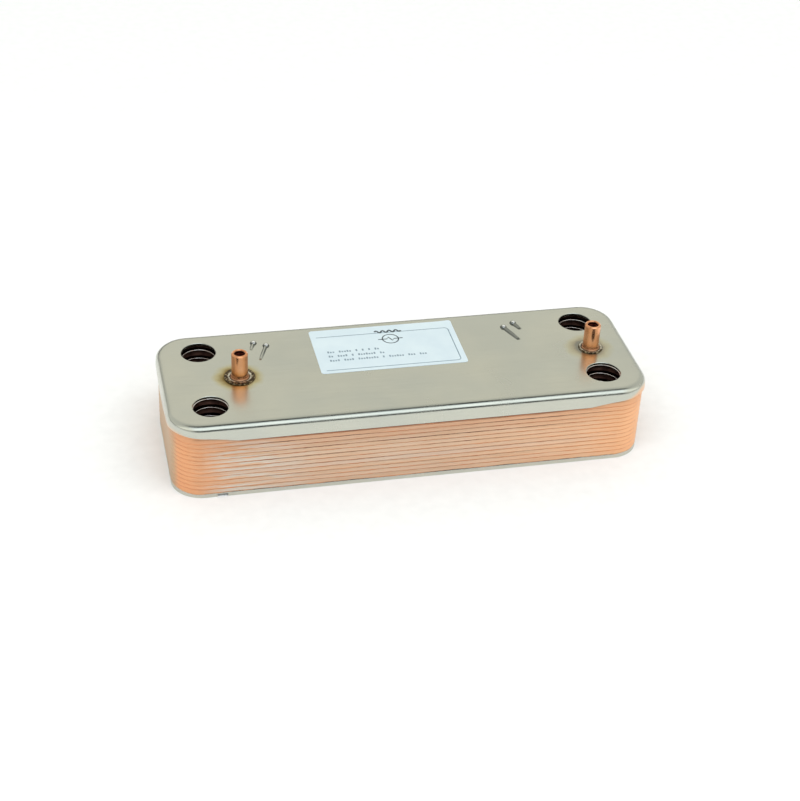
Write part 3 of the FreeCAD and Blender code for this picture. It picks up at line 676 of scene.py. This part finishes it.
film, tree = new_material("white_polyester_film")
place = add_node(tree, "TexCoord").outputs["Object"]
finish_material(tree, {
    "Base Color": add_node(tree, "ValToRGB", {"Fac": cloud(tree, place, 12.0)}, (
        (0.35, "#CBDAE2"), (0.65, "#D2E0E6"))),
    "Roughness": 0.42,
    "Coat Weight": 0.2,
    "Coat Roughness": 0.25,
    "Normal": add_node(tree, "Bump", {
        "Height": cloud(tree, place, 8.0), "Strength": 0.2, "Distance": 0.08 * MM})})

label_low, label_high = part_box("label")
LABEL_CORNER = 1.5 * MM
CORNER_LIFT = 0.35 * MM
LIFTED_REACH = 7 * MM
CUTS_LONG, CUTS_WIDE = 44, 24


def film_height(x, y):
    """The film's lift off the cover at a place: none but for its far right corner."""
    gap = (Vector((label_high.x, label_high.y)) - Vector((x, y))).length
    return CORNER_LIFT * max(0.0, 1 - gap / LIFTED_REACH) ** 2


def rounded_rectangle(low, high, corner, arc_steps=8):
    """The corner points of a rectangle with round corners, anticlockwise from the far right."""
    points = []
    for x, y, start in ((high.x - corner, high.y - corner, 0), (low.x + corner, high.y - corner, 1),
                        (low.x + corner, low.y + corner, 2), (high.x - corner, low.y + corner, 3)):
        for index in range(arc_steps + 1):
            angle = (start + index / arc_steps) * math.pi / 2
            points.append((x + corner * math.cos(angle), y + corner * math.sin(angle)))
    return points


label_mesh = bmesh.new()
label_mesh.faces.new([label_mesh.verts.new((x, y, label_low.z))
                      for x, y in rounded_rectangle(label_low, label_high, LABEL_CORNER)])
span = label_high - label_low
for count, extent, start, normal in ((CUTS_LONG, span.x, label_low.x, (1, 0, 0)),
                                     (CUTS_WIDE, span.y, label_low.y, (0, 1, 0))):
    for index in range(1, count):
        bmesh.ops.bisect_plane(
            label_mesh, geom=[*label_mesh.verts, *label_mesh.edges, *label_mesh.faces],
            plane_co=Vector(normal) * (start + extent * index / count), plane_no=normal)
lifted = bmesh.ops.extrude_face_region(label_mesh, geom=label_mesh.faces[:])
for vertex in (item for item in lifted["geom"] if isinstance(item, bmesh.types.BMVert)):
    vertex.co.z = label_high.z
for vertex in label_mesh.verts:
    vertex.co.z += film_height(vertex.co.x, vertex.co.y)
label = finished_piece(label_mesh, "film_label", film, smooth=False)
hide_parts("label")


def print_ink(name, cell, *stops):
    """Ink as a thermal printer lays it down: matt, with an uneven tone."""
    material, tree = new_material(name)
    place = add_node(tree, "TexCoord").outputs["Object"]
    tone = add_node(tree, "ValToRGB", {"Fac": cloud(tree, place, cell)}, stops)
    finish_material(tree, {"Base Color": tone, "Roughness": 0.6})
    return material


ink = print_ink("grey_blue_print", 1.5, (0.3, "#6F828E"), (0.7, "#8C9FAA"))
dark_ink = print_ink("dark_print", 0.8, (0.3, "#333B40"), (0.7, "#566067"))
INK_SHEET = 0.015 * MM


def stroke(mesh, points, width, closed=False):
    """A flat printed line of one width through points in the label's plane."""
    count = len(points)
    level = label_high.z + INK_SHEET
    pairs = []
    for index, point in enumerate(points):
        before = points[index - 1] if closed or index else point
        after = points[(index + 1) % count] if closed or index < count - 1 else point
        along = (Vector(after) - Vector(before)).normalized()
        side = Vector((-along.y, along.x)) * width / 2
        pairs.append([mesh.verts.new((*(Vector(point) + offset), level + film_height(*point)))
                      for offset in (side, -side)])
    for index in range(count if closed else count - 1):
        (a, b), (c, d) = pairs[index], pairs[(index + 1) % count]
        mesh.faces.new((a, b, d, c))


# the frame is open on its left side: it runs along the bottom, up the right and back along the top
centre = (label_low + label_high) / 2
frame_print = bmesh.new()
frame_low = label_low + Vector((2.5, 2.2, 0)) * MM
frame_high = label_high - Vector((2.7, 5.8, 0)) * MM
round_frame = rounded_rectangle(frame_low, frame_high, 1.6 * MM)
far_right, near_right = round_frame[:9], round_frame[27:]
stroke(frame_print, [(frame_low.x, frame_low.y), *near_right, *far_right, (frame_low.x, frame_high.y)],
       0.45 * MM)
finished_piece(frame_print, "label_frame_print", ink, smooth=False)

# the symbol: a circle, a line through it with a zigzag, and a wave above
SYMBOL_RADIUS = 3.6 * MM
ZIGZAG = ((-5.6, 0), (-1.6, 0), (-0.8, 1.5), (0.8, -1.5), (1.6, 0), (5.6, 0))
symbol_print = bmesh.new()
symbol = centre + Vector((2.6, 6.2, 0)) * MM
ring_angles = [step * math.pi / 24 for step in range(48)]
circle = [(symbol.x + SYMBOL_RADIUS * math.cos(angle), symbol.y + SYMBOL_RADIUS * math.sin(angle))
          for angle in ring_angles]
stroke(symbol_print, circle, 0.55 * MM, closed=True)
stroke(symbol_print, [(symbol.x + x * MM, symbol.y + y * MM) for x, y in ZIGZAG], 0.6 * MM)
wave = [(symbol.x + (step / 4 - 6) * MM, symbol.y + (6.3 + 0.8 * math.sin(step * math.pi / 6)) * MM)
        for step in range(49)]
stroke(symbol_print, wave, 0.9 * MM)
finished_piece(symbol_print, "label_symbol_print", dark_ink, smooth=False)

# three rows of blocks: how far down each row is, and how many blocks make each of its groups
ROWS = ((0.0, (3, 5, 1, 1, 1, 2)), (-3.4, (2, 4, 1, 7, 2)), (-6.8, (4, 4, 8, 1, 6, 3, 3)))
BLOCK, BLOCK_GAP, GROUP_GAP = 0.75 * MM, 0.4 * MM, 1.7 * MM
SHORT_BLOCK, TALL_BLOCK = 1.1 * MM, 1.5 * MM
text_print = bmesh.new()
for drop, groups in ROWS:
    x = label_low.x + 5.4 * MM
    foot = centre.y - 1.6 * MM + drop * MM
    for blocks in groups:
        for number in range(blocks):
            tall = TALL_BLOCK if number % 3 == 0 else SHORT_BLOCK
            stroke(text_print, [(x, foot + tall / 2), (x + BLOCK, foot + tall / 2)], tall)
            x += BLOCK + BLOCK_GAP
        x += GROUP_GAP
finished_piece(text_print, "label_bar_print", ink, smooth=False)
